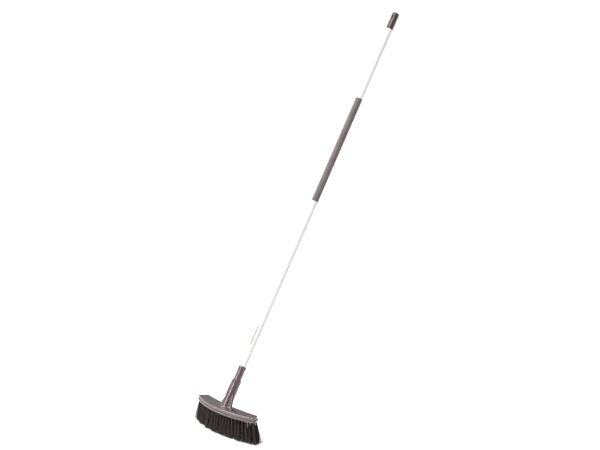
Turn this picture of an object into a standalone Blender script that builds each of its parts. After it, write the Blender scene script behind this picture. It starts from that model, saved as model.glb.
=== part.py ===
"""Yard push broom: a curved head with five rows of tufts, and a long tube handle
that a lock collar holds in the head's leaning neck.

The origin is the centre of the sweeping face, in the plane of the bristle tips.
+X runs along the head, +Y is the side that the handle leans to, and +Z is up.

Everything on the handle is made along the local +Z of the empty "handle_axis",
whose origin is where the handle's axis meets the head's top. A height on one of
those pieces is its distance from that point along the handle.
"""
import math

import bmesh
import bpy
from mathutils import Matrix, Vector

GAP = 0.0003              # left between neighbouring pieces
ROUND_SIDES = 36
MERGE = 0.00001
FLAT = math.radians(0.1)  # faces that differ by less than this become one
SHARP = math.radians(35)  # edges that turn by more than this are shaded sharp
OVERLAP = 0.001           # how far joined shapes and cutters run past a surface

# Head, seen from above. Its front is a shallow bow and its ends are raked.
HEAD_LENGTH = 0.380       # between the two front corners
HEAD_DEPTH = 0.0575       # front to back at the middle
FRONT_SWEEP = 0.0373      # how far the front corners lie behind the front's middle
FRONT_POWER = 2.16
BACK_LENGTH = 0.3274      # between the two back corners
BACK_SWEEP = 0.014
FRONT_CORNER = 0.0075
BACK_CORNER = 0.0075
CURVE_STEPS = 14
ARC_STEPS = 3
CORNER_RUN = 0.012        # the length of side that a corner's rounding is laid against

# Head, seen from the side.
BRISTLE_LENGTH = 0.078
HEAD_HEIGHT = 0.018
LIP_HEIGHT = 0.007        # the tuft block's rim, below the cover
LIP_STEP = 0.003          # how far the rim stands out from the cover's wall
LIP_ROUNDING = 0.001
COVER_WALL = 0.002
COVER_TOP = 0.0024
COVER_EDGE = 0.0035
UNDERSIDE = BRISTLE_LENGTH
LIP_TOP = UNDERSIDE + LIP_HEIGHT
HEAD_TOP = UNDERSIDE + HEAD_HEIGHT
CAVITY_TOP = HEAD_TOP - COVER_TOP
PLUG_TOP = CAVITY_TOP - 2 * GAP
CAVITY_INSET = LIP_STEP + COVER_WALL
PLUG_INSET = CAVITY_INSET + GAP

# Tufts.
ROWS = 5
TUFTS_TO_END = 11         # from the middle of a long row to its end
ROW_INSET = 0.008
END_INSET = 0.0085
HOLE_RADIUS = 0.0026
HOLE_DEPTH = 0.0086
TUFT_ROOT_DEPTH = 0.0063
TUFT_ROOT_RADIUS = 0.0020
TUFT_SIDES = 6
TUFT_TAPER = 0.0001
MERGE_HEIGHT = 0.072      # below this, a row's tufts have spread into each other
MERGE_OVERLAP = 0.004     # how far a tuft's root reaches down into the joined part
WAIST_AT_MERGE = 0.0012   # half the thickness between two tufts, there
TUFT_AT_TIP = 0.44        # half a tuft's thickness at the tips, in row spacings
WAIST_AT_TIP = 0.30       # the same between two tufts
FAN_ALONG = 0.095         # sideways lean of a tuft's tip, as a share of its x
FAN_ACROSS = 0.34         # the same across the head, as a share of its row's offset

# Screws that hold the tuft block in the cover. Each takes a tuft's place.
SCREW_TUFTS = (-9, -3, 3, 9)
SCREW_RADIUS = 0.0017
SCREW_HEAD_RADIUS = 0.0038
SCREW_HEAD_HEIGHT = 0.0027
SCREW_CHAMFER = 0.0008
SCREW_SEAT = 0.0845       # the height of the recess's floor
BOSS_RADIUS = 0.0042
BOSS_FOOT = 0.0895

# Neck and its gussets.
LEAN = math.radians(29)
AXIS_FOOT = Vector((0, 0.011, HEAD_TOP))
NECK_FOOT_RADIUS = 0.0180
NECK_RADIUS = 0.0175
NECK_SHOULDER = 0.0885    # where the collar's thread starts
NECK_TOP = 0.0952
THREAD_RADIUS = 0.0159
BORE_RADIUS = 0.0142
BORE_FLOOR = 0.012
NECK_ROOT = -0.03         # the neck starts in the head, where the cavity cuts it off
GUSSET_REACH = 0.036
GUSSET_ROOT = -0.012
GUSSET_TOE = 0.001        # the height up to which a gusset keeps its full reach
GUSSET_TOP = 0.050
GUSSET_THICKNESS = 0.010
GUSSET_ROUNDING = 0.002
KEY_WIDTH = 0.0024
KEY_REACH = 0.01325
KEY_SPAN = (0.0145, 0.085)

# Lock collar and clamp ring.
COLLAR_RADIUS = 0.0174
COLLAR_TOP = 0.1035
COLLAR_WEB = 0.0023
COLLAR_CHAMFER = 0.0030
COLLAR_RIBS = 12
RIB_CUT = 0.0005          # the depth of the grooves between the ribs
FLUTE_RADIUS = 0.0016
RING_BASE = NECK_TOP + GAP
RING_TOP = COLLAR_TOP - COLLAR_WEB - GAP
RING_SLOT = 0.0025

# Handle.
TUBE_RADIUS = 0.0117
TUBE_WALL = 0.0012
TUBE_TOP = 1.568
FERRULE_RADIUS = 0.01385
FERRULE_BORE = TUBE_RADIUS + GAP
FERRULE_BASE = BORE_FLOOR + 0.0005
FERRULE_FLOOR = 0.003
FERRULE_TOP = 0.155
BEAD_RADIUS = 0.0145
BEAD_HEIGHT = 0.009
BEAD_CHAMFER = 0.0008
GROOVE_EXTRA = 0.008      # how far the ferrule's groove runs on above the key
PIN_HEIGHT = 0.050
PIN_RADIUS = 0.0018
GRIP_SPAN = (0.820, 1.243)
GRIP_BORE = TUBE_RADIUS + 0.00025
GRIP_RADIUS = 0.01245
GRIP_CHAMFER = 0.0003
CAP_RADIUS = 0.0131
CAP_BASE = 1.534
CAP_TOP = 1.600
CAP_ROUNDING = 0.005
HANG_HOLE_HEIGHT = 1.583
HANG_HOLE_RADIUS = 0.0047

TAUPE = (0.150, 0.122, 0.126)
TAUPE_DARK = (0.120, 0.098, 0.102)
BRISTLE_BROWN = (0.020, 0.015, 0.014)
STEEL = (0.55, 0.55, 0.56)
TUBE_WHITE = (0.86, 0.86, 0.87)


def clear_scene():
    for obj in list(bpy.data.objects):
        bpy.data.objects.remove(obj, do_unlink=True)


def new_collection(name):
    collection = bpy.data.collections.new(name)
    bpy.context.scene.collection.children.link(collection)


def principled(name, colour, roughness, metallic=0.0):
    material = bpy.data.materials.new(name)
    material.use_nodes = True
    shader = material.node_tree.nodes["Principled BSDF"]
    shader.inputs["Base Color"].default_value = (*colour, 1.0)
    shader.inputs["Roughness"].default_value = roughness
    shader.inputs["Metallic"].default_value = metallic
    material.diffuse_color = (*colour, 1.0)
    return material


def on_handle_axis(obj):
    obj.parent = bpy.data.objects["handle_axis"]
    return obj


def as_part(obj, colour, roughness, metallic=0.0):
    """Give a finished sub-part its own material."""
    obj.data.materials.clear()
    obj.data.materials.append(principled(obj.name, colour, roughness, metallic))
    return obj


def cutter(obj):
    """Move an operand of a Boolean out of the parts' collection."""
    for collection in list(obj.users_collection):
        collection.objects.unlink(obj)
    bpy.data.collections["cutters"].objects.link(obj)
    obj.hide_render = True
    obj.display_type = "WIRE"
    return obj


def combine(obj, other, operation):
    modifier = obj.modifiers.new(f"{operation.lower()} {other.name}", "BOOLEAN")
    modifier.operation = operation
    modifier.object = other
    modifier.solver = "EXACT"


def cut(obj, other):
    combine(obj, cutter(other), "DIFFERENCE")


def join(obj, other):
    combine(obj, cutter(other), "UNION")


def add_mesh(name, mesh):
    obj = bpy.data.objects.new(name, mesh)
    bpy.data.collections["push_broom"].objects.link(obj)
    return obj


def mesh_from_bmesh(name, build):
    """Make an object from the shapes that the function adds to a bmesh."""
    bm = bmesh.new()
    build(bm)
    mesh = bpy.data.meshes.new(name)
    bm.to_mesh(mesh)
    bm.free()
    return add_mesh(name, mesh)


def as_mesh(obj):
    """Swap an object for one whose mesh is its evaluated shape, with caps welded."""
    depsgraph = bpy.context.evaluated_depsgraph_get()
    mesh = bpy.data.meshes.new_from_object(obj.evaluated_get(depsgraph), depsgraph=depsgraph)
    bm = bmesh.new()
    bm.from_mesh(mesh)
    bmesh.ops.remove_doubles(bm, verts=bm.verts, dist=MERGE)
    bmesh.ops.dissolve_limit(bm, angle_limit=FLAT, verts=bm.verts, edges=bm.edges)
    bm.to_mesh(mesh)
    bm.free()
    mesh.shade_smooth()
    mesh.set_sharp_from_angle(angle=SHARP)
    name = obj.name
    placed = obj.matrix_world.copy()
    bpy.data.objects.remove(obj, do_unlink=True)
    solid = add_mesh(name, mesh)
    solid.matrix_world = placed
    return solid


def turned(name, profile, closed=True, sides=ROUND_SIDES):
    """Turn a profile of (radius, height) about Z. It runs down its outer side."""
    count = len(profile)
    edges = [(i, i + 1) for i in range(count - 1)]
    if closed:
        edges.append((count - 1, 0))
    mesh = bpy.data.meshes.new(name)
    mesh.from_pydata([(radius, 0, height) for radius, height in profile], edges, [])
    obj = add_mesh(name, mesh)
    screw = obj.modifiers.new("turn", "SCREW")
    screw.steps = sides
    screw.render_steps = sides
    screw.use_merge_vertices = True
    screw.merge_threshold = MERGE
    bpy.context.view_layer.update()
    return as_mesh(obj)


def plate(name, outline, low, high):
    """A flat outline, extruded from one height to another."""
    curve = bpy.data.curves.new(name, "CURVE")
    curve.dimensions = "2D"
    curve.fill_mode = "BOTH"
    curve.extrude = (high - low) / 2
    spline = curve.splines.new("POLY")
    spline.points.add(len(outline) - 1)
    for point, (x, y) in zip(spline.points, outline):
        point.co = (x, y, 0, 1)
    spline.use_cyclic_u = True
    obj = bpy.data.objects.new(name, curve)
    bpy.data.collections["push_broom"].objects.link(obj)
    obj.location.z = (low + high) / 2
    bpy.context.view_layer.update()
    return as_mesh(obj)


def box(name, low, high):
    low, high = Vector(low), Vector(high)

    def build(bm):
        size = Matrix.Diagonal((*(high - low), 1))
        bmesh.ops.create_cube(bm, size=1, matrix=Matrix.Translation((low + high) / 2) @ size)

    return mesh_from_bmesh(name, build)


def upright(bm, centre, radius, low, high, sides=20):
    """Add a vertical cylinder between two heights."""
    middle = Matrix.Translation((centre[0], centre[1], (low + high) / 2))
    bmesh.ops.create_cone(bm, cap_ends=True, segments=sides, radius1=radius,
                          radius2=radius, depth=high - low, matrix=middle)


def round_edges(obj, width, segments, angle=60):
    bevel = obj.modifiers.new("rounding", "BEVEL")
    bevel.width = width
    bevel.segments = segments
    bevel.limit_method = "ANGLE"
    bevel.angle_limit = math.radians(angle)


# The head's outline.

def front_edge(x):
    return -HEAD_DEPTH / 2 + FRONT_SWEEP * abs(2 * x / HEAD_LENGTH) ** FRONT_POWER


def back_edge(x):
    return HEAD_DEPTH / 2 + BACK_SWEEP * (2 * x / BACK_LENGTH) ** 2


def corner_arc(before, corner, after, radius):
    """The points of a rounded corner, from the side before it to the side after."""
    to_before = (before - corner).normalized()
    to_after = (after - corner).normalized()
    half_angle = to_before.angle(to_after) / 2
    setback = radius / math.tan(half_angle)
    centre = corner + (to_before + to_after).normalized() * radius / math.sin(half_angle)
    start = corner + to_before * setback - centre
    end = corner + to_after * setback - centre
    sweep = start.angle_signed(end)
    points = []
    for step in range(ARC_STEPS + 1):
        turn = Matrix.Rotation(-sweep * step / ARC_STEPS, 2)
        points.append(centre + turn @ start)
    return points


def right_half_outline():
    """From the front's middle, round the right end, to the back's middle."""
    front_x = HEAD_LENGTH / 2
    back_x = BACK_LENGTH / 2
    front_corner = Vector((front_x, front_edge(front_x)))
    back_corner = Vector((back_x, back_edge(back_x)))
    front_side = Vector((front_x - CORNER_RUN, front_edge(front_x - CORNER_RUN)))
    back_side = Vector((back_x - CORNER_RUN, back_edge(back_x - CORNER_RUN)))
    front_arc = corner_arc(front_side, front_corner, back_corner, FRONT_CORNER)
    back_arc = corner_arc(front_corner, back_corner, back_side, BACK_CORNER)
    points = []
    for step in range(CURVE_STEPS):
        x = front_arc[0].x * step / CURVE_STEPS
        points.append(Vector((x, front_edge(x))))
    points += front_arc + back_arc
    for step in range(CURVE_STEPS - 1, -1, -1):
        x = back_arc[-1].x * step / CURVE_STEPS
        points.append(Vector((x, back_edge(x))))
    return points


def head_outline(inset=0.0):
    """The whole outline, counterclockwise, moved inwards by the inset."""
    right = right_half_outline()
    left = [Vector((-point.x, point.y)) for point in reversed(right[1:-1])]
    points = right + left
    moved = []
    for index, point in enumerate(points):
        behind = (point - points[index - 1]).normalized()
        ahead = (points[(index + 1) % len(points)] - point).normalized()
        inward = Vector((-behind.y, behind.x)) + Vector((-ahead.y, ahead.x))
        moved.append(point + inward * inset / (1 + behind.dot(ahead)))
    return moved


# Where the tufts stand.

def row_line(row, x):
    """The y of a row of tufts at an x; row 0 is the front one."""
    return front_edge(x) + ROW_INSET + row_spacing(x) * row


def row_spacing(x):
    return (back_edge(x) - front_edge(x) - 2 * ROW_INSET) / (ROWS - 1)


def row_half_length(row):
    """The x where a row comes within END_INSET of the raked end."""
    front_x, back_x = HEAD_LENGTH / 2, BACK_LENGTH / 2
    rake = (front_x - back_x) / (back_edge(back_x) - front_edge(front_x))
    sideways = END_INSET * math.hypot(1, rake)
    x = back_x
    for _ in range(30):
        x = front_x - (row_line(row, x) - front_edge(front_x)) * rake - sideways
    return x


def row_places(row):
    """Every tuft place of a row, as (number, x, y). Every other row is staggered."""
    half_length = row_half_length(row)
    stagger = 0.5 * (row % 2)
    places = []
    for number in range(-TUFTS_TO_END, TUFTS_TO_END + 1):
        share = (number + stagger) / TUFTS_TO_END
        if share <= 1:
            x = share * half_length
            places.append((number, x, row_line(row, x)))
    return places


def is_screw_place(row, number):
    return row == ROWS // 2 and number in SCREW_TUFTS


def tuft_places(row):
    return [(x, y) for number, x, y in row_places(row) if not is_screw_place(row, number)]


def screw_places():
    middle = ROWS // 2
    return [(x, y) for number, x, y in row_places(middle) if is_screw_place(middle, number)]


def leaning(x, y, low, high):
    """A frame whose Z leans as a tuft at (x, y) does, centred between two heights."""
    middle_line = row_line(ROWS // 2, x)
    lean_x = -FAN_ALONG * x / BRISTLE_LENGTH
    lean_y = -FAN_ACROSS * (y - middle_line) / BRISTLE_LENGTH
    height = (low + high) / 2
    rise = height - UNDERSIDE
    return Matrix(((1, 0, lean_x, x + lean_x * rise),
                   (0, 1, lean_y, y + lean_y * rise),
                   (0, 0, 1, height),
                   (0, 0, 0, 1)))


def add_leaning_cone(bm, x, y, low, high, low_radius, high_radius):
    bmesh.ops.create_cone(bm, cap_ends=True, segments=TUFT_SIDES, radius1=low_radius,
                          radius2=high_radius, depth=high - low,
                          matrix=leaning(x, y, low, high))


# The head's pieces.

def head_cover():
    """Cover and neck in one moulding, open below for the tuft block.

    It starts too deep, so that only its upper edge keeps the rounding.
    """
    cover = plate("head_cover", head_outline(LIP_STEP), LIP_TOP - 2 * COVER_EDGE, HEAD_TOP)
    round_edges(cover, COVER_EDGE, 3)
    join(cover, neck_core())
    join(cover, gussets())
    cut(cover, plate("cavity", head_outline(CAVITY_INSET), UNDERSIDE, CAVITY_TOP))
    cut(cover, box("below_the_cover", (-HEAD_LENGTH, -HEAD_LENGTH, 0),
                   (HEAD_LENGTH, HEAD_LENGTH, LIP_TOP + GAP)))
    join(cover, screw_bosses())
    cut(cover, neck_bore())
    cut(cover, pilot_holes())
    join(cover, neck_key())
    return as_part(cover, TAUPE, 0.42)


def neck_core():
    profile = [(0, NECK_TOP), (THREAD_RADIUS, NECK_TOP),
               (THREAD_RADIUS, NECK_SHOULDER), (NECK_RADIUS, NECK_SHOULDER),
               (NECK_FOOT_RADIUS, GUSSET_TOP), (NECK_FOOT_RADIUS, NECK_ROOT), (0, NECK_ROOT)]
    return on_handle_axis(turned("neck_core", profile, closed=False))


def gussets():
    """One leaning plate through the neck, whose two ends are the gussets."""
    outline = [(GUSSET_REACH, GUSSET_ROOT), (GUSSET_REACH, GUSSET_TOE),
               (NECK_RADIUS - OVERLAP, GUSSET_TOP)]
    outline += [(-x, height) for x, height in reversed(outline)]
    fins = plate("gussets", outline, -GUSSET_THICKNESS / 2, GUSSET_THICKNESS / 2)
    fins.data.transform(Matrix.Rotation(math.radians(90), 4, "X"))
    round_edges(fins, GUSSET_ROUNDING, 2, 45)
    return on_handle_axis(fins)


def neck_bore():
    profile = [(0, NECK_TOP + OVERLAP), (BORE_RADIUS, NECK_TOP + OVERLAP),
               (BORE_RADIUS, BORE_FLOOR), (0, BORE_FLOOR)]
    return on_handle_axis(turned("neck_bore", profile, closed=False))


def neck_key():
    """A rib at the back of the bore that stops the handle from turning."""
    low = (-KEY_WIDTH / 2, KEY_REACH, KEY_SPAN[0])
    high = (KEY_WIDTH / 2, BORE_RADIUS + OVERLAP, KEY_SPAN[1])
    return on_handle_axis(box("neck_key", low, high))


def screw_bosses():
    def build(bm):
        for place in screw_places():
            upright(bm, place, BOSS_RADIUS, BOSS_FOOT, CAVITY_TOP + OVERLAP)

    return mesh_from_bmesh("screw_bosses", build)


def pilot_holes():
    def build(bm):
        for place in screw_places():
            upright(bm, place, SCREW_RADIUS + GAP, BOSS_FOOT - OVERLAP, CAVITY_TOP, 12)

    return mesh_from_bmesh("pilot_holes", build)


def tuft_block():
    """The block that carries the tufts: a rim below the cover and a plug inside it."""
    block = plate("tuft_block", head_outline(), UNDERSIDE, LIP_TOP)
    round_edges(block, LIP_ROUNDING, 1)
    join(block, plate("plug", head_outline(PLUG_INSET), LIP_TOP - OVERLAP, PLUG_TOP))
    cut(block, tuft_holes())
    cut_screw_recesses(block)
    return as_part(block, TAUPE_DARK, 0.5)


def tuft_holes():
    def build(bm):
        for row in range(ROWS):
            for x, y in tuft_places(row):
                add_leaning_cone(bm, x, y, UNDERSIDE - OVERLAP, UNDERSIDE + HOLE_DEPTH,
                                 HOLE_RADIUS, HOLE_RADIUS)

    return mesh_from_bmesh("tuft_holes", build)


def cut_screw_recesses(block):
    """For each screw: a recess for its head, a clearance hole and the boss's pocket."""
    profile = [(0, PLUG_TOP + OVERLAP), (BOSS_RADIUS + GAP, PLUG_TOP + OVERLAP),
               (BOSS_RADIUS + GAP, BOSS_FOOT - GAP),
               (SCREW_RADIUS + GAP, BOSS_FOOT - GAP),
               (SCREW_RADIUS + GAP, SCREW_SEAT),
               (SCREW_HEAD_RADIUS + GAP, SCREW_SEAT),
               (SCREW_HEAD_RADIUS + GAP, UNDERSIDE - OVERLAP), (0, UNDERSIDE - OVERLAP)]
    for number, place in enumerate(screw_places(), 1):
        recess = turned(f"screw_recess_{number}", profile, closed=False, sides=12)
        recess.location = (*place, 0)
        cut(block, recess)


def block_screws():
    """Pan-head screws from below. The four share one mesh."""
    seat = SCREW_SEAT - GAP
    foot = seat - SCREW_HEAD_HEIGHT
    top = CAVITY_TOP - 2 * GAP
    profile = [(0, top), (SCREW_RADIUS, top), (SCREW_RADIUS, seat),
               (SCREW_HEAD_RADIUS, seat), (SCREW_HEAD_RADIUS, foot + SCREW_CHAMFER),
               (SCREW_HEAD_RADIUS - SCREW_CHAMFER, foot), (0, foot)]
    first = turned("block_screw_1", profile, closed=False, sides=16)
    as_part(first, STEEL, 0.35, 1.0)
    for number, place in enumerate(screw_places(), 1):
        screw = first if number == 1 else add_mesh(f"block_screw_{number}", first.data)
        screw.location = (*place, 0)


def row_side(row, side, at_tips):
    """One flank of a row, bulging at each tuft and narrow between two of them.

    The side is 1 for the back flank and -1 for the front one. A flank has one edge
    at the tips and one at the height where the tufts merge.
    """
    places = [(x, y) for _, x, y in row_places(row)]
    points = []
    for index, (x, y) in enumerate(places):
        tuft = TUFT_AT_TIP * row_spacing(x) if at_tips else TUFT_ROOT_RADIUS
        if index == 0:
            points.append((x - tuft, y + side * tuft / 2))
        points.append((x, y + side * tuft))
        if index + 1 < len(places):
            middle = (x + places[index + 1][0]) / 2
            waist = WAIST_AT_TIP * row_spacing(middle) if at_tips else WAIST_AT_MERGE
            points.append((middle, row_line(row, middle) + side * waist))
        else:
            points.append((x + tuft, y + side * tuft / 2))
    return points


def fanned(x, y, height):
    """Where a bristle that leaves the block at (x, y) is, at a height below it."""
    drop = (UNDERSIDE - height) / BRISTLE_LENGTH
    across = y - row_line(ROWS // 2, x)
    return (x * (1 + FAN_ALONG * drop), y + FAN_ACROSS * across * drop, height)


def bristle_row(row):
    """A row's tufts, joined where their bristles have spread into each other."""
    def build(bm):
        rings = []
        for height in (0, MERGE_HEIGHT):
            outline = row_side(row, -1, height == 0) + row_side(row, 1, height == 0)[::-1]
            rings.append([bm.verts.new(fanned(x, y, height)) for x, y in outline])
        low, high = rings
        count = len(low)
        for index in range(count):
            after = (index + 1) % count
            bm.faces.new((low[index], low[after], high[after], high[index]))
        half = count // 2
        for index in range(half - 1):
            across = count - 1 - index
            bm.faces.new((low[index], low[across], low[across - 1], low[index + 1]))
            bm.faces.new((high[index], high[index + 1], high[across - 1], high[across]))

    def build_roots(bm):
        for x, y in tuft_places(row):
            add_leaning_cone(bm, x, y, MERGE_HEIGHT - MERGE_OVERLAP,
                             UNDERSIDE + TUFT_ROOT_DEPTH,
                             TUFT_ROOT_RADIUS + TUFT_TAPER, TUFT_ROOT_RADIUS)

    tufts = mesh_from_bmesh(f"bristle_row_{row + 1}", build)
    join(tufts, mesh_from_bmesh(f"tuft_roots_{row + 1}", build_roots))
    return as_part(tufts, BRISTLE_BROWN, 0.6)


# The lock collar and its ring.

def lock_collar():
    base = NECK_SHOULDER + GAP
    web = COLLAR_TOP - COLLAR_WEB
    inside = THREAD_RADIUS + GAP
    profile = [(FERRULE_RADIUS + GAP, COLLAR_TOP),
               (COLLAR_RADIUS - COLLAR_CHAMFER * 0.6, COLLAR_TOP),
               (COLLAR_RADIUS, COLLAR_TOP - COLLAR_CHAMFER),
               (COLLAR_RADIUS, base), (inside, base), (inside, web),
               (FERRULE_RADIUS + GAP, web)]
    collar = on_handle_axis(turned("lock_collar", profile))
    cut(collar, collar_flutes())
    return as_part(collar, TAUPE, 0.42)


def collar_flutes():
    """Shallow grooves along the collar that leave its grip ribs standing."""
    distance = COLLAR_RADIUS + FLUTE_RADIUS - RIB_CUT
    top = COLLAR_TOP - COLLAR_CHAMFER - RIB_CUT

    def build(bm):
        for number in range(COLLAR_RIBS):
            angle = 2 * math.pi * number / COLLAR_RIBS
            centre = (distance * math.cos(angle), distance * math.sin(angle))
            upright(bm, centre, FLUTE_RADIUS, NECK_SHOULDER, top, 8)

    return on_handle_axis(mesh_from_bmesh("collar_flutes", build))


def clamp_ring():
    """The split ring that the collar presses onto the neck, round the handle."""
    profile = [(FERRULE_RADIUS + GAP, RING_TOP), (THREAD_RADIUS, RING_TOP),
               (THREAD_RADIUS, RING_BASE), (FERRULE_RADIUS + GAP, RING_BASE)]
    ring = on_handle_axis(turned("clamp_ring", profile))
    slot = box("ring_slot", (-RING_SLOT / 2, -COLLAR_RADIUS, RING_BASE - OVERLAP),
               (RING_SLOT / 2, 0, RING_TOP + OVERLAP))
    cut(ring, on_handle_axis(slot))
    return as_part(ring, TAUPE_DARK, 0.5)


# The handle's pieces.

def ferrule():
    """The sleeve on the tube's lower end; its lower part fills the neck's bore."""
    floor = FERRULE_BASE + FERRULE_FLOOR
    bead_foot = FERRULE_TOP - BEAD_HEIGHT
    profile = [(0, floor), (FERRULE_BORE, floor), (FERRULE_BORE, FERRULE_TOP),
               (BEAD_RADIUS - BEAD_CHAMFER, FERRULE_TOP),
               (BEAD_RADIUS, FERRULE_TOP - BEAD_CHAMFER),
               (BEAD_RADIUS, bead_foot), (FERRULE_RADIUS, bead_foot - BEAD_CHAMFER),
               (FERRULE_RADIUS, FERRULE_BASE), (0, FERRULE_BASE)]
    sleeve = on_handle_axis(turned("ferrule", profile, closed=False))
    half_width = KEY_WIDTH / 2 + GAP
    groove = box("key_groove", (-half_width, KEY_REACH - GAP, FERRULE_BASE - OVERLAP),
                 (half_width, FERRULE_RADIUS + OVERLAP, KEY_SPAN[1] + GROOVE_EXTRA))
    cut(sleeve, on_handle_axis(groove))
    cut(sleeve, cross_cylinder("pin_hole_in_ferrule", PIN_RADIUS + GAP))
    return as_part(sleeve, TAUPE, 0.45)


def cross_cylinder(name, radius, length=2 * (FERRULE_RADIUS + OVERLAP)):
    """A cylinder across the handle, along X, at the ferrule pin's height."""
    def build(bm):
        placed = Matrix.Translation((0, 0, PIN_HEIGHT)) @ Matrix.Rotation(math.pi / 2, 4, "Y")
        bmesh.ops.create_cone(bm, cap_ends=True, segments=16, radius1=radius,
                              radius2=radius, depth=length, matrix=placed)

    return on_handle_axis(mesh_from_bmesh(name, build))


def ferrule_pin():
    pin = cross_cylinder("ferrule_pin", PIN_RADIUS, 2 * (FERRULE_RADIUS - GAP))
    return as_part(pin, STEEL, 0.35, 1.0)


def handle_tube():
    base = FERRULE_BASE + FERRULE_FLOOR + GAP
    inside = TUBE_RADIUS - TUBE_WALL
    profile = [(inside, TUBE_TOP), (TUBE_RADIUS, TUBE_TOP),
               (TUBE_RADIUS, base), (inside, base)]
    tube = on_handle_axis(turned("handle_tube", profile))
    cut(tube, cross_cylinder("pin_hole_in_tube", PIN_RADIUS + GAP))
    return as_part(tube, TUBE_WHITE, 0.3)


def mid_grip():
    low, high = GRIP_SPAN
    profile = [(GRIP_BORE, high), (GRIP_RADIUS - GRIP_CHAMFER, high),
               (GRIP_RADIUS, high - GRIP_CHAMFER), (GRIP_RADIUS, low + GRIP_CHAMFER),
               (GRIP_RADIUS - GRIP_CHAMFER, low), (GRIP_BORE, low)]
    return as_part(on_handle_axis(turned("mid_grip", profile)), TAUPE_DARK, 0.6)


def end_cap():
    """The cap over the tube's top, solid above the tube, with the hanging hole."""
    inside = TUBE_RADIUS + GAP
    floor = TUBE_TOP + GAP
    profile = [(0, CAP_TOP)]
    for step in range(5):
        angle = math.radians(90 - 22.5 * step)
        profile.append((CAP_RADIUS - CAP_ROUNDING * (1 - math.cos(angle)),
                        CAP_TOP - CAP_ROUNDING * (1 - math.sin(angle))))
    profile += [(CAP_RADIUS, CAP_BASE), (inside, CAP_BASE), (inside, floor), (0, floor)]
    cap = on_handle_axis(turned("end_cap", profile, closed=False))

    def build(bm):
        across = Matrix.Rotation(math.pi / 2, 4, "X")
        bmesh.ops.create_cone(bm, cap_ends=True, segments=24, radius1=HANG_HOLE_RADIUS,
                              radius2=HANG_HOLE_RADIUS, depth=2 * (CAP_RADIUS + OVERLAP),
                              matrix=Matrix.Translation((0, 0, HANG_HOLE_HEIGHT)) @ across)

    cut(cap, on_handle_axis(mesh_from_bmesh("hang_hole", build)))
    return as_part(cap, TAUPE, 0.45)


def make_handle_axis():
    axis = bpy.data.objects.new("handle_axis", None)
    bpy.data.collections["push_broom"].objects.link(axis)
    axis.location = AXIS_FOOT
    axis.rotation_euler.x = -LEAN


def main():
    clear_scene()
    new_collection("push_broom")
    new_collection("cutters")
    make_handle_axis()
    head_cover()
    tuft_block()
    for row in range(ROWS):
        bristle_row(row)
    block_screws()
    clamp_ring()
    lock_collar()
    ferrule()
    ferrule_pin()
    handle_tube()
    mid_grip()
    end_cap()


main()
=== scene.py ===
"""The looks of a yard push broom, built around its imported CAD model.

The frame is the CAD's: metres, +X along the head, +Y to the side that the handle leans
to, +Z up, and the origin at the centre of the sweeping face.

A piece on the handle's axis has its own frame: local Z runs up the handle, from the
point where the axis meets the head's top, and a height on such a piece is its distance
from that point. The design values below repeat the ones that the CAD was made from.
"""
import math
import random

import bmesh
import bpy
from mathutils import Matrix, Quaternion, Vector


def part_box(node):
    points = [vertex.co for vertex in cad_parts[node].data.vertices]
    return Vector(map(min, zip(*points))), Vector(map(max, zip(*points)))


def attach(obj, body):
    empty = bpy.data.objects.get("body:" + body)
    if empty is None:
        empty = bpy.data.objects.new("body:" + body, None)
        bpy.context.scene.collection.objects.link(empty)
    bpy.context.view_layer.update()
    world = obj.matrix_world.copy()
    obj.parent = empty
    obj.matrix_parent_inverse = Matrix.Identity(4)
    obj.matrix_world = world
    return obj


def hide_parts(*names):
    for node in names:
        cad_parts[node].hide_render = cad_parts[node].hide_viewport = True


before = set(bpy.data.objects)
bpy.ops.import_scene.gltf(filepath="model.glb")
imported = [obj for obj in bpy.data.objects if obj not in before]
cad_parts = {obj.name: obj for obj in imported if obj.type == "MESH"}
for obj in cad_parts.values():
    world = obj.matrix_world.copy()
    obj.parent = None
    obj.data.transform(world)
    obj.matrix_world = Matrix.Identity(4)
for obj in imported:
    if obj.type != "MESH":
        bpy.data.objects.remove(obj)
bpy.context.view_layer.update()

SEED = 20
GAP = 0.0003              # between neighbouring pieces, as in the CAD

# Head, seen from above.
HEAD_LENGTH = 0.380
HEAD_DEPTH = 0.0575
FRONT_SWEEP = 0.0373
FRONT_POWER = 2.16
BACK_LENGTH = 0.3274
BACK_SWEEP = 0.014
FRONT_CORNER = 0.0075
BACK_CORNER = 0.0075
SMALLEST_CORNER = 0.0012  # of an outline that is moved in by more than its corners
SIDE_STEPS = 44           # points from the middle of a long side to its corner
ARC_STEPS = 9
RAKE_STEPS = 4
CORNER_TANGENT = 0.012    # length of the straight sides that a corner is drawn from

# Head, seen from the side.
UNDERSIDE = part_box("tuft_block")[0].z
LIP_TOP = UNDERSIDE + 0.007
HEAD_TOP = UNDERSIDE + 0.018
LIP_STEP = 0.003
COVER_WALL = 0.002
CAVITY_TOP = HEAD_TOP - 0.0024
SHOULDER_WIDTH = 0.009    # of the cover's rounded upper edge along the front, seen from above
SHOULDER_DROP = 0.0042
BACK_ROUNDING = 0.002     # of the same edge along the back
SHOULDER_STEPS = 9
WALL_FOOT_EDGE = 0.0004   # the small bevel at the foot of the cover's wall
LIP_EDGE = 0.0011
LIP_EDGE_STEPS = 4
DOME = 0.0005             # how far the cover's top rises to the foot of the neck
TOP_SHARES = (0.05, 0.12, 0.22, 0.35, 0.5, 0.65, 0.8, 0.92, 1.0)   # of the way to its edge

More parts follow.
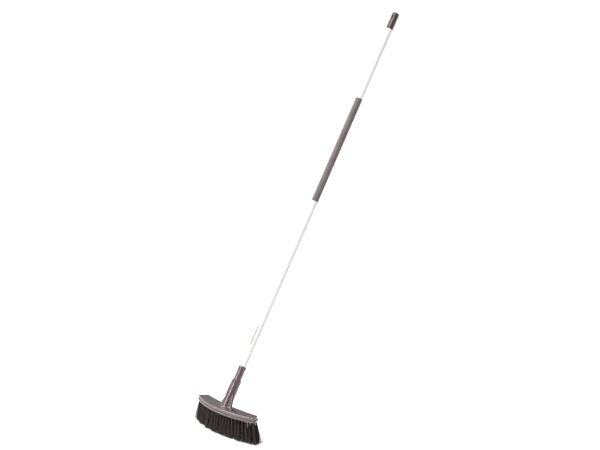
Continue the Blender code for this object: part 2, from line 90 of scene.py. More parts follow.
# Neck, along the handle's axis.
LEAN = math.radians(29)
AXIS_FOOT = Vector((0, 0.011, HEAD_TOP))
NECK_FOOT_RADIUS = 0.0180
NECK_RADIUS = 0.0175
NECK_SHOULDER = 0.0885
NECK_TOP = 0.0952
THREAD_RADIUS = 0.0159
THREAD_DEPTH = 0.0005
THREAD_PITCH = 0.003
BORE_RADIUS = 0.0142
BORE_FLOOR = 0.012
GUSSET_REACH = 0.036
GUSSET_TOP = 0.050
GUSSET_THICKNESS = 0.010
FOOT_FILLET = 0.0032
LEVEL_ABOVE = 0.040       # below this rise the neck's rings turn level with the head
BORE_RINGS = ((BORE_RADIUS, BORE_FLOOR), (BORE_RADIUS, NECK_TOP - 0.0004),
              (BORE_RADIUS + 0.0004, NECK_TOP), (THREAD_RADIUS - 0.0007, NECK_TOP))
THREAD_RINGS = 28
NECK_STEPS = 46
FILLET_STEPS = 8
UNDERCUT_SLOPE = 1.9      # of the neck's back, from the head's back edge out to its overhang
SLOT_SPAN = (0.036, 0.075)
SLOT_DEPTH = 0.0030
SLOT_HALF_ANGLE = math.radians(15)
SLOT_END = 0.003
FLUTE_ANGLE = math.radians(66)   # of the two shallow flutes, from the neck's front
FLUTE_DEPTH = 0.0009
FLUTE_HALF_ANGLE = math.radians(15)
FLUTE_FOOT = (0.002, 0.016)      # the heights between which it fades in
FLUTE_TOP = (0.080, 0.087)
KEY_WIDTH = 0.0024
KEY_REACH = 0.01325
KEY_SPAN = (0.0145, 0.085)

# Screws and tufts.
ROWS = 5
TUFTS_TO_END = 11
ROW_INSET = 0.008
END_INSET = 0.0085
HOLE_RADIUS = 0.0026
HOLE_DEPTH = 0.0086
SCREW_TUFTS = (-9, -3, 3, 9)
SCREW_RADIUS = 0.0017
SCREW_HEAD_RADIUS = 0.0038
SCREW_HEAD_HEIGHT = 0.0027
SCREW_SEAT = 0.0845
SCREW_TIP = (0.0004, 0.0016)     # radius and length of the pointed end
SCREW_THREAD_DEPTH = 0.0004
SCREW_THREAD_PITCH = 0.0007
SCREW_THREAD_START = 0.0020      # below the tip
SCREW_SHANK = 0.0012             # plain, above the head
DRIVE_REACH = 0.0021             # of one arm of the cross recess, from the middle
DRIVE_HALF_WIDTH = 0.00042
DRIVE_DEPTH = 0.0015
BOSS_RADIUS = 0.0042
BOSS_FOOT = 0.0895

# Bristles.
FILAMENTS = 66            # in a tuft
FILAMENT_RADIUS = 0.00034
FILAMENT_RINGS = 6
FILAMENT_SIDES = 4
FILAMENT_ROOT = 0.005     # how far a filament reaches into the block
FILAMENT_BOW = 0.0006
TIP_TAPER = 0.62
TUFT_RADIUS = 0.0021
FAN_ALONG = 0.095
FAN_ALONG_GROWTH = 0.008  # from each row to the one behind it
FAN_ACROSS = 0.34
TIP_SPREAD_ALONG = 0.0092
TIP_SPREAD_ACROSS = 0.0055
OUTWARD_SHARE = 0.75      # of the spread, in the direction that a filament starts from
SCATTER = 0.30            # of the spread, at random
SPREAD_POWER = 0.85
LEAST_SPREAD = 0.62       # of a tuft, where 1 is the widest
OWN_LEAN = (0.030, 0.016) # of a tuft, along and across the head
TRIM = 0.0007             # of single filaments
TUFT_TRIM = 0.0024        # of whole tufts

# Lock collar.
COLLAR_RADIUS = 0.0174
COLLAR_TOP = 0.1035
COLLAR_WEB = 0.0023
COLLAR_CHAMFER = 0.0030
COLLAR_RIBS = 12
RIB_CUT = 0.0005
RIB_CUTTER_RADIUS = 0.0024
RIB_MARGIN = (0.0016, 0.0012)    # below and above the grooves between the ribs
RIB_TAPER = 0.0006

# Handle.
TUBE_RADIUS = 0.0117
TUBE_WALL = 0.0012
TUBE_TOP = 1.568
FERRULE_RADIUS = 0.01385
FERRULE_BASE = BORE_FLOOR + 0.0005
FERRULE_FLOOR = 0.003
FERRULE_TOP = 0.155
BEAD_RADIUS = 0.0145
BEAD_HEIGHT = 0.009
PIN_HEIGHT = 0.050
PIN_RADIUS = 0.0018
GRIP_SPAN = (0.820, 1.243)
GRIP_RADIUS = 0.01245
GRIP_GAP = 0.00025
CAP_RADIUS = 0.0131
CAP_BASE = 1.534
CAP_TOP = 1.600
CAP_ROUNDING = 0.003
HANG_HOLE_HEIGHT = 1.583
HANG_HOLE_RADIUS = 0.0047
MOUTH_SPAN = (0.0112, 0.0142)    # of the hole's flared mouths, from the handle's axis
MOUTH_FLARE = 0.0024

# The plain printed band on the tube, in place of the real one's lettering.
PRINT_ANGLE = math.radians(-79)
STRIPE_SPAN = (0.237, 0.315)
STRIPE_HALF_ANGLE = 0.30
THIN_LINE_SPAN = (0.335, 0.394)
THIN_LINE_HALF_ANGLE = 0.10

# Camera and light.
CAMERA_PLACE = (4.4199, -2.8449, 1.7038)
CAMERA_AZIMUTH = math.radians(54.209)
CAMERA_ELEVATION = math.radians(10.124)
CAMERA_ROLL = math.radians(0.12)
CAMERA_LENS = 90
CAMERA_SENSOR = 36
DARK_SIDE = (0.35, 0.75, -0.56)  # the direction in which the surroundings are darkest

HANDLE_FRAME = Matrix.Translation(AXIS_FOOT) @ Matrix.Rotation(-LEAN, 4, "X")
TURN_SIDES = 96
SHARP_ANGLE = math.radians(38)
FRONT = -math.pi / 2      # the angle of the neck's front about the handle's axis


# Shapes.

def add_object(name, bm, placed=Matrix.Identity(4)):
    """Make an object from a bmesh, smooth but for its real edges."""
    bmesh.ops.recalc_face_normals(bm, faces=bm.faces)
    mesh = bpy.data.meshes.new(name)
    bm.to_mesh(mesh)
    bm.free()
    mesh.shade_smooth()
    mesh.set_sharp_from_angle(angle=SHARP_ANGLE)
    obj = bpy.data.objects.new(name, mesh)
    bpy.context.scene.collection.objects.link(obj)
    obj.matrix_world = placed
    return obj


def arc_corner(before, corner, after, radius, steps):
    """The points of a rounded corner, from the side before it to the side after."""
    to_before = (before - corner).normalized()
    to_after = (after - corner).normalized()
    half_angle = to_before.angle(to_after) / 2
    setback = radius / math.tan(half_angle)
    centre = corner + (to_before + to_after).normalized() * radius / math.sin(half_angle)
    start = corner + to_before * setback - centre
    end = corner + to_after * setback - centre
    sweep = start.angle_signed(end)
    return [centre + Matrix.Rotation(-sweep * step / steps, 2) @ start
            for step in range(steps + 1)]


def rounded_profile(corners, steps=4):
    """A profile of (radius, height, rounding), with each corner's rounding made."""
    points = [Vector(corner[:2]) for corner in corners]
    made = []
    for index, (_, _, rounding) in enumerate(corners):
        if rounding == 0:
            made.append(points[index])
        else:
            after = points[(index + 1) % len(points)]
            made += arc_corner(points[index - 1], points[index], after, rounding, steps)
    return made


def turned(name, corners, closed=True, placed=HANDLE_FRAME, sides=TURN_SIDES):
    """Turn a profile about local Z. An open profile starts and ends on the axis."""
    profile = rounded_profile(corners)
    bm = bmesh.new()
    rings = []
    for radius, height in profile:
        if radius == 0:
            rings.append([bm.verts.new((0, 0, height))])
            continue
        turns = [2 * math.pi * side / sides for side in range(sides)]
        rings.append([bm.verts.new((radius * math.cos(turn), radius * math.sin(turn), height))
                      for turn in turns])
    following = rings[1:] + (rings[:1] if closed else [])
    for ring, after in zip(rings, following):
        join_rings(bm, ring, after)
    return add_object(name, bm, placed)


def join_rings(bm, ring, after):
    """Fill between two rings of equal count, or between a ring and one point."""
    count = max(len(ring), len(after))
    for side in range(count):
        near, far = side % len(ring), side % len(after)
        near_next, far_next = (side + 1) % len(ring), (side + 1) % len(after)
        corners = [ring[near], ring[near_next], after[far_next], after[far]]
        bm.faces.new(list(dict.fromkeys(corners)))


def cylinder(bm, radius, low, high, placed=Matrix.Identity(4), sides=24, high_radius=None):
    """Add a cylinder along Z, or a cone where the radius at its high end is given."""
    middle = Matrix.Translation((0, 0, (low + high) / 2))
    bmesh.ops.create_cone(bm, cap_ends=True, segments=sides, radius1=radius,
                          radius2=radius if high_radius is None else high_radius,
                          depth=high - low, matrix=placed @ middle)


def block(bm, low, high):
    """Add a box between two corners."""
    low, high = Vector(low), Vector(high)
    size = Matrix.Diagonal((*(high - low), 1))
    bmesh.ops.create_cube(bm, size=1, matrix=Matrix.Translation((low + high) / 2) @ size)


def carve(obj, operation, build, placed=Matrix.Identity(4)):
    """Cut or join the shapes that the function adds to a bmesh, for good."""
    bm = bmesh.new()
    build(bm)
    other = add_object(f"{obj.name}_operand", bm, placed)
    modifier = obj.modifiers.new(operation, "BOOLEAN")
    modifier.operation = operation
    modifier.object = other
    modifier.solver = "EXACT"
    bpy.context.view_layer.update()
    depsgraph = bpy.context.evaluated_depsgraph_get()
    mesh = bpy.data.meshes.new_from_object(obj.evaluated_get(depsgraph), depsgraph=depsgraph)
    obj.modifiers.clear()
    obj.data = mesh
    mesh.set_sharp_from_angle(angle=SHARP_ANGLE)
    bpy.data.objects.remove(other, do_unlink=True)


def crosswise(height, axis, side=1):
    """A frame at a height on local Z, whose own Z lies square to it."""
    return Matrix.Translation((0, 0, height)) @ Matrix.Rotation(side * math.pi / 2, 4, axis)


def even_normals(obj):
    """Shade by the large faces, so that a cut leaves no streaks on a flat one."""
    modifier = obj.modifiers.new("even normals", "WEIGHTED_NORMAL")
    modifier.keep_sharp = True


# The head's outline.

def smooth_step(value, low, high):
    share = min(1, max(0, (value - low) / (high - low)))
    return share * share * (3 - 2 * share)


def front_edge(x):
    return -HEAD_DEPTH / 2 + FRONT_SWEEP * abs(2 * x / HEAD_LENGTH) ** FRONT_POWER


def back_edge(x):
    return HEAD_DEPTH / 2 + BACK_SWEEP * (2 * x / BACK_LENGTH) ** 2


def moved_left(start, end, inset):
    """A line through two points, moved to its left."""
    along = (end - start).normalized()
    aside = Vector((-along.y, along.x)) * inset
    return start + aside, end + aside


def crossing(first, second):
    """Where two lines meet, each given by two points."""
    along, other = first[1] - first[0], second[1] - second[0]
    return first[0] + along * (second[0] - first[0]).cross(other) / along.cross(other)


def edge_inset(edge, x, inset):
    """An inset along an edge's normal, measured along Y."""
    step = 0.001
    return inset * math.hypot(1, (edge(x + step) - edge(x - step)) / (2 * step))


def right_half_outline(inset):
    """From the front's middle, round the right end, to the back's middle."""
    front_x, back_x = HEAD_LENGTH / 2, BACK_LENGTH / 2
    front_corner = Vector((front_x, front_edge(front_x)))
    back_corner = Vector((back_x, back_edge(back_x)))
    front_side = Vector((front_x - CORNER_TANGENT, front_edge(front_x - CORNER_TANGENT)))
    back_side = Vector((back_x - CORNER_TANGENT, back_edge(back_x - CORNER_TANGENT)))
    front_line = moved_left(front_side, front_corner, inset)
    end_line = moved_left(front_corner, back_corner, inset)
    back_line = moved_left(back_corner, back_side, inset)
    front_turn, back_turn = crossing(front_line, end_line), crossing(end_line, back_line)
    front_arc = arc_corner(front_line[0], front_turn, back_turn,
                           max(FRONT_CORNER - inset, SMALLEST_CORNER), ARC_STEPS)
    back_arc = arc_corner(front_turn, back_turn, back_line[1],
                          max(BACK_CORNER - inset, SMALLEST_CORNER), ARC_STEPS)
    front = [front_arc[0].x * step / SIDE_STEPS for step in range(SIDE_STEPS)]
    back = [back_arc[-1].x * step / SIDE_STEPS for step in range(SIDE_STEPS - 1, -1, -1)]
    rake = [front_arc[-1].lerp(back_arc[0], step / RAKE_STEPS)
            for step in range(1, RAKE_STEPS)]
    points = [Vector((x, front_edge(x) + edge_inset(front_edge, x, inset))) for x in front]
    points += front_arc + rake + back_arc
    points += [Vector((x, back_edge(x) - edge_inset(back_edge, x, inset))) for x in back]
    return points


def head_outline(inset=0.0):
    """The whole outline, counterclockwise from the front's middle, moved inwards."""
    right = right_half_outline(inset)
    left = [Vector((-point.x, point.y)) for point in reversed(right[1:-1])]
    return right + left


def back_shares():
    """For each point of the outline, 0 along the front and 1 along the back."""
    last = SIDE_STEPS + 2 * ARC_STEPS + RAKE_STEPS + 1
    right = [smooth_step(index, SIDE_STEPS, last) for index in range(last + SIDE_STEPS)]
    return right + right[-2:0:-1]


def outline_ring(inset, height):
    return [Vector((point.x, point.y, height)) for point in head_outline(inset)]


def row_spacing(x):
    return (back_edge(x) - front_edge(x) - 2 * ROW_INSET) / (ROWS - 1)


def row_line(row, x):
    return front_edge(x) + ROW_INSET + row_spacing(x) * row


def row_half_length(row):
    """How far a row reaches, which depends on where its bowed line meets the raked end."""
    front_x, back_x = HEAD_LENGTH / 2, BACK_LENGTH / 2
    rake = (front_x - back_x) / (back_edge(back_x) - front_edge(front_x))
    sideways = END_INSET * math.hypot(1, rake)
    x = back_x
    for _ in range(30):
        x = front_x - (row_line(row, x) - front_edge(front_x)) * rake - sideways
    return x


def row_places(row):
    """Every tuft place of a row, as (number, x, y)."""
    half_length = row_half_length(row)
    stagger = 0.5 * (row % 2)    # of a tuft's spacing, in every second row
    places = []
    for number in range(-TUFTS_TO_END, TUFTS_TO_END + 1):
        share = (number + stagger) / TUFTS_TO_END
        if share <= 1:
            x = share * half_length
            places.append((number, x, row_line(row, x)))
    return places


def is_screw_place(row, number):
    return row == ROWS // 2 and number in SCREW_TUFTS


def tuft_places(row):
    return [(x, y) for number, x, y in row_places(row) if not is_screw_place(row, number)]


def screw_places():
    middle = ROWS // 2
    return [(x, y) for number, x, y in row_places(middle) if is_screw_place(middle, number)]


def tuft_lean(x, y):
    """How far a tuft's axis moves sideways for each metre that it goes up."""
    across = y - row_line(ROWS // 2, x)
    row = ROWS // 2 + across / row_spacing(x)
    along = (FAN_ALONG + FAN_ALONG_GROWTH * row) * x
    return Vector((-along, -FAN_ACROSS * across)) / UNDERSIDE


# The head's mouldings.

def angle_between(angle, other):
    return abs((angle - other + math.pi) % (2 * math.pi) - math.pi)


def groove(angle, height):
    """How deep the slot at the neck's front and the two flutes beside it are."""
    low, high = SLOT_SPAN
    along = smooth_step(height, low, low + SLOT_END)
    along *= 1 - smooth_step(height, high - SLOT_END, high)
    across = 1 - smooth_step(angle_between(angle, FRONT), SLOT_HALF_ANGLE * 0.8,
                             SLOT_HALF_ANGLE)
    fade = smooth_step(height, *FLUTE_FOOT) * (1 - smooth_step(height, *FLUTE_TOP))
    flutes = sum(1 - smooth_step(angle_between(angle, FRONT + side * FLUTE_ANGLE), 0,
                                 FLUTE_HALF_ANGLE) for side in (-1, 1))
    return SLOT_DEPTH * along * across + FLUTE_DEPTH * fade * flutes


def neck_reach(angle, height, grow=0.0):
    """The neck's outer radius, gussets included. The sum of powers rounds their meeting."""
    slope = min(1, max(0, (height - GUSSET_TOP) / (NECK_SHOULDER - GUSSET_TOP)))
    round_part = NECK_FOOT_RADIUS + (NECK_RADIUS - NECK_FOOT_RADIUS) * slope + grow
    fall = (GUSSET_REACH - NECK_RADIUS + 0.001) / GUSSET_TOP
    reach = max(GUSSET_REACH - fall * max(height, 0), 0.004) + grow
    thickness = GUSSET_THICKNESS / 2 + grow
    bar = ((abs(math.cos(angle)) / reach) ** 6
           + (abs(math.sin(angle)) / thickness) ** 6) ** (-1 / 6)
    return (round_part ** 14 + bar ** 14) ** (1 / 14) - groove(angle, height)


def undercut(rise):
    """How far back the neck may reach at a rise above the cover's top."""
    return back_edge(0) - LIP_STEP - BACK_ROUNDING - 0.0005 + UNDERCUT_SLOPE * rise


def on_axis(angle, radius, height):
    """A place round the handle's axis, in the CAD's frame."""
    return HANDLE_FRAME @ Vector((radius * math.cos(angle), radius * math.sin(angle), height))


def neck_ring(angles, rise, level, grow=0.0):
    """A ring of the neck at a rise above the cover's top.

    At level 1 it lies flat like the head, and at level 0 square to the axis.
    """
    ring = []
    for angle in angles:
        height = rise / math.cos(LEAN)
        for _ in range(12):      # radius and height each depend on the other
            radius = neck_reach(angle, height, grow)
            height = (rise + level * radius * math.sin(angle) * math.sin(LEAN)) / math.cos(LEAN)
        point = on_axis(angle, radius, height)
        point.y = min(point.y, undercut(point.z - HEAD_TOP))
        ring.append(point)
    return ring


def thread_ring(angles, height):
    """A ring of the right-handed thread, whose crests fade out at its two ends."""
    ends = min(1, (height - NECK_SHOULDER) / 0.001, (NECK_TOP - height) / 0.001)
    ring = []
    for angle in angles:
        turn = (height / THREAD_PITCH - angle / (2 * math.pi)) % 1
        crest = max(0, 1 - 2.6 * abs(turn - 0.5))
        radius = THREAD_RADIUS - THREAD_DEPTH * (1 - crest * max(0, ends))
        ring.append(on_axis(angle, radius, height))
    return ring


def shoulder_ring(turn):
    """A ring of the cover's rounded upper edge, wide at the front and narrow at the back."""
    inward, down = 1 - math.sin(turn), 1 - math.cos(turn)
    front = head_outline(LIP_STEP + SHOULDER_WIDTH * inward)
    back = head_outline(LIP_STEP + BACK_ROUNDING * inward)
    ring = []
    for wide, narrow, share in zip(front, back, back_shares()):
        point = wide.lerp(narrow, share)
        drop = SHOULDER_DROP + (BACK_ROUNDING - SHOULDER_DROP) * share
        ring.append(Vector((point.x, point.y, HEAD_TOP - drop * down)))
    return ring


def neck_rings(angles):
    """The neck, from the bottom of its bore, over its thread, to the head's top."""
    rings = [[on_axis(angle, radius, height) for angle in angles]
             for radius, height in BORE_RINGS]
    for step in range(THREAD_RINGS):
        share = (step + 0.5) / THREAD_RINGS
        rings.append(thread_ring(angles, NECK_TOP + (NECK_SHOULDER - NECK_TOP) * share))
    rings.append([on_axis(angle, NECK_RADIUS - 0.0006, NECK_SHOULDER) for angle in angles])
    top = (NECK_SHOULDER - 0.0005) * math.cos(LEAN)
    for step in range(NECK_STEPS + 1):
        rise = top + (FOOT_FILLET - top) * step / NECK_STEPS
        level = 1 - smooth_step(rise, FOOT_FILLET, LEVEL_ABOVE)
        rings.append(neck_ring(angles, rise, level))
    for step in range(1, FILLET_STEPS + 1):
        turn = math.pi / 2 * step / FILLET_STEPS
        rings.append(neck_ring(angles, FOOT_FILLET * (1 - math.sin(turn)), 1,
                               FOOT_FILLET * (1 - math.cos(turn))))
    for ring in rings:
        for point in ring:
            point.z += DOME
    return rings


def cover_rings():
    """The cover's skin, from the neck's bore to the ceiling of the cavity under it."""
    count = len(head_outline())
    rings = neck_rings([FRONT + 2 * math.pi * index / count for index in range(count)])
    foot = rings[-1]
    edge = shoulder_ring(0)
    for share in TOP_SHARES:
        height = HEAD_TOP + DOME * (1 - share) ** 1.5
        spread = [a.lerp(b, share) for a, b in zip(foot, edge)]
        rings.append([Vector((point.x, point.y, height)) for point in spread])
    for step in range(1, SHOULDER_STEPS + 1):
        rings.append(shoulder_ring(math.pi / 2 * step / SHOULDER_STEPS))
    rings.append(outline_ring(LIP_STEP, LIP_TOP + GAP + WALL_FOOT_EDGE))
    rings.append(outline_ring(LIP_STEP + WALL_FOOT_EDGE, LIP_TOP + GAP))
    rings.append(outline_ring(LIP_STEP + COVER_WALL, LIP_TOP + GAP))
    rings.append(outline_ring(LIP_STEP + COVER_WALL, CAVITY_TOP))
    return rings


def solid_of_rings(name, rings):
    """A closed skin through rings of equal count, with both ends filled."""
    bm = bmesh.new()
    made = [[bm.verts.new(point) for point in ring] for ring in rings]
    for ring, after in zip(made, made[1:]):
        join_rings(bm, ring, after)
    bm.faces.new(made[0])
    bm.faces.new(made[-1])
    return add_object(name, bm)


def add_bosses(bm):
    for x, y in screw_places():
        cylinder(bm, BOSS_RADIUS, BOSS_FOOT, CAVITY_TOP + 0.001, Matrix.Translation((x, y, 0)))


def add_pilot_holes(bm):
    for x, y in screw_places():
        cylinder(bm, SCREW_RADIUS + GAP, BOSS_FOOT - 0.001, CAVITY_TOP,
                 Matrix.Translation((x, y, 0)), 16)


def add_key(bm):
    block(bm, (-KEY_WIDTH / 2, KEY_REACH, KEY_SPAN[0]),
          (KEY_WIDTH / 2, BORE_RADIUS + 0.001, KEY_SPAN[1]))


def make_cover():
    cover = solid_of_rings("cover_and_neck", cover_rings())
    carve(cover, "UNION", add_bosses)
    carve(cover, "DIFFERENCE", add_pilot_holes)
    carve(cover, "UNION", add_key, HANDLE_FRAME)
    even_normals(cover)
    finish_piece(cover, "head", MOULDED, "head_cover")


def block_rings():
    """The tuft block's skin, from its underside, over the rim, to the top of its plug."""
    plug_inset = LIP_STEP + COVER_WALL + GAP
    turns = [math.pi / 2 * step / LIP_EDGE_STEPS for step in range(LIP_EDGE_STEPS + 1)]
    rings = [outline_ring(LIP_EDGE * (1 - math.sin(turn)),
                          UNDERSIDE + LIP_EDGE * (1 - math.cos(turn))) for turn in turns]
    rings += [outline_ring(LIP_EDGE * (1 - math.cos(turn)),
                           LIP_TOP - LIP_EDGE * (1 - math.sin(turn))) for turn in turns]
    rings.append(outline_ring(plug_inset, LIP_TOP))
    rings.append(outline_ring(plug_inset, CAVITY_TOP - 2 * GAP - 0.0005))
    rings.append(outline_ring(plug_inset + 0.0005, CAVITY_TOP - 2 * GAP))
    return rings


def add_tuft_holes(bm):
    for row in range(ROWS):
        for x, y in tuft_places(row):
            lean = tuft_lean(x, y)
            sheared = Matrix(((1, 0, lean.x, x), (0, 1, lean.y, y),
                              (0, 0, 1, UNDERSIDE), (0, 0, 0, 1)))
            cylinder(bm, HOLE_RADIUS, -0.002, HOLE_DEPTH, sheared, 16)


def add_screw_recesses(bm):
    for x, y in screw_places():
        at = Matrix.Translation((x, y, 0))
        cylinder(bm, SCREW_HEAD_RADIUS + GAP, UNDERSIDE - 0.001, SCREW_SEAT, at, 32)


def add_screw_ways(bm):
    for x, y in screw_places():
        at = Matrix.Translation((x, y, 0))
        cylinder(bm, SCREW_RADIUS + GAP, SCREW_SEAT - 0.001, BOSS_FOOT, at, 16)


def add_boss_pockets(bm):
    for x, y in screw_places():
        at = Matrix.Translation((x, y, 0))
        cylinder(bm, BOSS_RADIUS + GAP, BOSS_FOOT - GAP, CAVITY_TOP, at, 24)


def make_block():
    moulding = solid_of_rings("tuft_block_moulding", block_rings())
    for cut in (add_tuft_holes, add_screw_recesses, add_screw_ways, add_boss_pockets):
        carve(moulding, "DIFFERENCE", cut)
    even_normals(moulding)
    finish_piece(moulding, "head", BLOCK, "tuft_block")


# Bristles.

def filament_path(place, lean, spread, chance):
    """The middle line of one filament, from inside the block to its trimmed tip."""
    x, y = place
    turn = chance.uniform(0, 2 * math.pi)
    out = math.sqrt(chance.random())
    aside = Vector((math.cos(turn), math.sin(turn))) * out
    start = Vector((x, y)) + aside * (TUFT_RADIUS - FILAMENT_RADIUS)
    swing = Vector((chance.gauss(0, SCATTER), chance.gauss(0, SCATTER)))
    tip = Vector(((aside.x * OUTWARD_SHARE + swing.x) * TIP_SPREAD_ALONG,
                  (aside.y * OUTWARD_SHARE + swing.y) * TIP_SPREAD_ACROSS)) * spread
    bow = Vector((chance.gauss(0, FILAMENT_BOW), chance.gauss(0, FILAMENT_BOW)))
    foot = abs(chance.gauss(0, TRIM))
    top = UNDERSIDE + FILAMENT_ROOT
    points = []
    for ring in range(FILAMENT_RINGS + 1):
        share = ring / FILAMENT_RINGS
        height = top + (foot - top) * share
        below = max(0, (UNDERSIDE - height) / UNDERSIDE)
        aside_now = start + lean * (height - UNDERSIDE) + tip * below ** SPREAD_POWER
        aside_now += bow * math.sin(math.pi * below) + bow.yx * 0.5 * math.sin(2 * math.pi * below)
        points.append(Vector((aside_now.x, aside_now.y, height)))
    return points


def add_filament(bm, points, chance):
    turn = chance.uniform(0, math.pi)
    rings = []
    for index, point in enumerate(points):
        last = index == len(points) - 1
        radius = FILAMENT_RADIUS * (TIP_TAPER if last else 1)
        rings.append([bm.verts.new(point + Vector((radius * math.cos(angle),
                                                   radius * math.sin(angle), 0)))
                      for angle in (turn + 2 * math.pi * side / FILAMENT_SIDES
                                    for side in range(FILAMENT_SIDES))])
    for ring, after in zip(rings, rings[1:]):
        join_rings(bm, ring, after)
    bm.faces.new(rings[0])
    bm.faces.new(rings[-1])


def make_tufts(row):
    chance = random.Random(SEED + row)
    bm = bmesh.new()
    for place in tuft_places(row):
        own = Vector((chance.gauss(0, OWN_LEAN[0]), chance.gauss(0, OWN_LEAN[1])))
        lean = tuft_lean(*place) + own
        uneven = chance.uniform(0, TUFT_TRIM)
        spread = chance.uniform(LEAST_SPREAD, 1)
        for _ in range(FILAMENTS):
            path = filament_path(place, lean, spread, chance)
            path[-1].z += uneven
            add_filament(bm, path, chance)
    tufts = add_object(f"tufts_{row + 1}", bm)
    finish_piece(tufts, "head", FILAMENT, f"bristle_row_{row + 1}")


# Fasteners.

def screw_profile(seat, foot):
    """Half of a screw's section, from its point, down its thread, to its head."""
    top = CAVITY_TOP - 2 * GAP
    core = SCREW_RADIUS - SCREW_THREAD_DEPTH
    tip_radius, tip_length = SCREW_TIP
    corners = [(0, top, 0), (tip_radius, top, 0), (core, top - tip_length, 0)]
    pitch = SCREW_THREAD_PITCH
    for turn in range(int((top - SCREW_THREAD_START - seat - SCREW_SHANK) / pitch)):
        height = top - SCREW_THREAD_START - turn * pitch
        corners += [(core, height, 0), (SCREW_RADIUS, height - pitch * 0.4, 0),
                    (core, height - pitch * 0.8, 0)]
    corners += [(core, seat, 0), (SCREW_HEAD_RADIUS, seat, 0.0002),
                (SCREW_HEAD_RADIUS, foot + 0.0010, 0.0006),
                (SCREW_HEAD_RADIUS - 0.0014, foot, 0.0010), (0, foot, 0)]
    return corners


def make_screws():
    seat = SCREW_SEAT - GAP
    foot = seat - SCREW_HEAD_HEIGHT
    first = turned("screw_shape", screw_profile(seat, foot), closed=False,
                   placed=Matrix.Identity(4), sides=40)
    for half_x, half_y in ((DRIVE_REACH, DRIVE_HALF_WIDTH), (DRIVE_HALF_WIDTH, DRIVE_REACH)):
        low = (-half_x, -half_y, foot - 0.001)
        high = (half_x, half_y, foot + DRIVE_DEPTH)
        carve(first, "DIFFERENCE", lambda bm: block(bm, low, high))
    for number, (x, y) in enumerate(screw_places(), 1):
        screw = bpy.data.objects.new(f"screw_{number}", first.data.copy())
        bpy.context.scene.collection.objects.link(screw)
        turn = Matrix.Rotation(0.7 * number, 4, "Z")
        screw.matrix_world = Matrix.Translation((x, y, 0)) @ turn
        finish_piece(screw, "head", ZINC, f"block_screw_{number}")
    bpy.data.objects.remove(first, do_unlink=True)


def make_pin():
    half = FERRULE_RADIUS - GAP
    corners = [(0, half, 0), (PIN_RADIUS, half, 0.0005), (PIN_RADIUS, -half, 0.0005),
               (0, -half, 0)]
    pin = turned("pin", corners, closed=False, sides=40,
                 placed=HANDLE_FRAME @ crosswise(PIN_HEIGHT, "Y"))
    finish_piece(pin, "handle", ZINC, "ferrule_pin")


# The collar.

def add_flutes(bm):
    """Shallow grooves that leave the collar's grip ribs standing."""
    radius = RIB_CUTTER_RADIUS
    distance = COLLAR_RADIUS + radius - RIB_CUT
    low = NECK_SHOULDER + RIB_MARGIN[0]
    high = COLLAR_TOP - COLLAR_CHAMFER - RIB_MARGIN[1]
    for number in range(COLLAR_RIBS):
        angle = 2 * math.pi * number / COLLAR_RIBS
        at = Matrix.Translation((distance * math.cos(angle), distance * math.sin(angle), 0))
        cylinder(bm, radius, low, high, at, 48)
        cylinder(bm, radius - RIB_TAPER, low - RIB_TAPER, low, at, 48, radius)
        cylinder(bm, radius, high, high + RIB_TAPER, at, 48, radius - RIB_TAPER)


def make_collar():
    base = NECK_SHOULDER + GAP
    web = COLLAR_TOP - COLLAR_WEB
    inside = THREAD_RADIUS + GAP
    throat = FERRULE_RADIUS + GAP
    corners = [(throat, COLLAR_TOP, 0.0004),
               (COLLAR_RADIUS - COLLAR_CHAMFER * 0.6, COLLAR_TOP, 0.0010),
               (COLLAR_RADIUS, COLLAR_TOP - COLLAR_CHAMFER, 0.0012),
               (COLLAR_RADIUS, base, 0.0005), (inside, base, 0.0002), (inside, web, 0),
               (throat, web, 0)]
    collar = turned("collar", corners, sides=144)
    carve(collar, "DIFFERENCE", add_flutes, HANDLE_FRAME)
    even_normals(collar)
    finish_piece(collar, "collar", MOULDED, "lock_collar")


# The handle.

def add_key_groove(bm):
    block(bm, (-KEY_WIDTH / 2 - GAP, KEY_REACH - GAP, FERRULE_BASE - 0.001),
          (KEY_WIDTH / 2 + GAP, FERRULE_RADIUS + 0.002, KEY_SPAN[1] + 0.008))


def add_pin_hole(bm):
    cylinder(bm, PIN_RADIUS + GAP, -0.02, 0.02, crosswise(PIN_HEIGHT, "Y"), 32)


def make_ferrule():
    floor = FERRULE_BASE + FERRULE_FLOOR
    bore = TUBE_RADIUS + GAP
    bead_foot = FERRULE_TOP - BEAD_HEIGHT
    corners = [(0, floor, 0), (bore, floor, 0), (bore, FERRULE_TOP, 0.0003),
               (BEAD_RADIUS, FERRULE_TOP, 0.0009), (BEAD_RADIUS, bead_foot, 0.0005),
               (FERRULE_RADIUS, bead_foot - 0.0012, 0.0009),
               (FERRULE_RADIUS, FERRULE_BASE, 0.0009), (0, FERRULE_BASE, 0)]
    sleeve = turned("sleeve", corners, closed=False)
    carve(sleeve, "DIFFERENCE", add_key_groove, HANDLE_FRAME)
    carve(sleeve, "DIFFERENCE", add_pin_hole, HANDLE_FRAME)
    even_normals(sleeve)
    finish_piece(sleeve, "handle", SLEEVE, "ferrule")


def make_tube():
    base = FERRULE_BASE + FERRULE_FLOOR + GAP
    inside = TUBE_RADIUS - TUBE_WALL
    corners = [(inside, TUBE_TOP, 0.0002), (TUBE_RADIUS, TUBE_TOP, 0.0003),
               (TUBE_RADIUS, base, 0.0003), (inside, base, 0.0002)]
    tube = turned("tube", corners)
    carve(tube, "DIFFERENCE", add_pin_hole, HANDLE_FRAME)
    even_normals(tube)
    finish_piece(tube, "handle", COATED, "handle_tube")


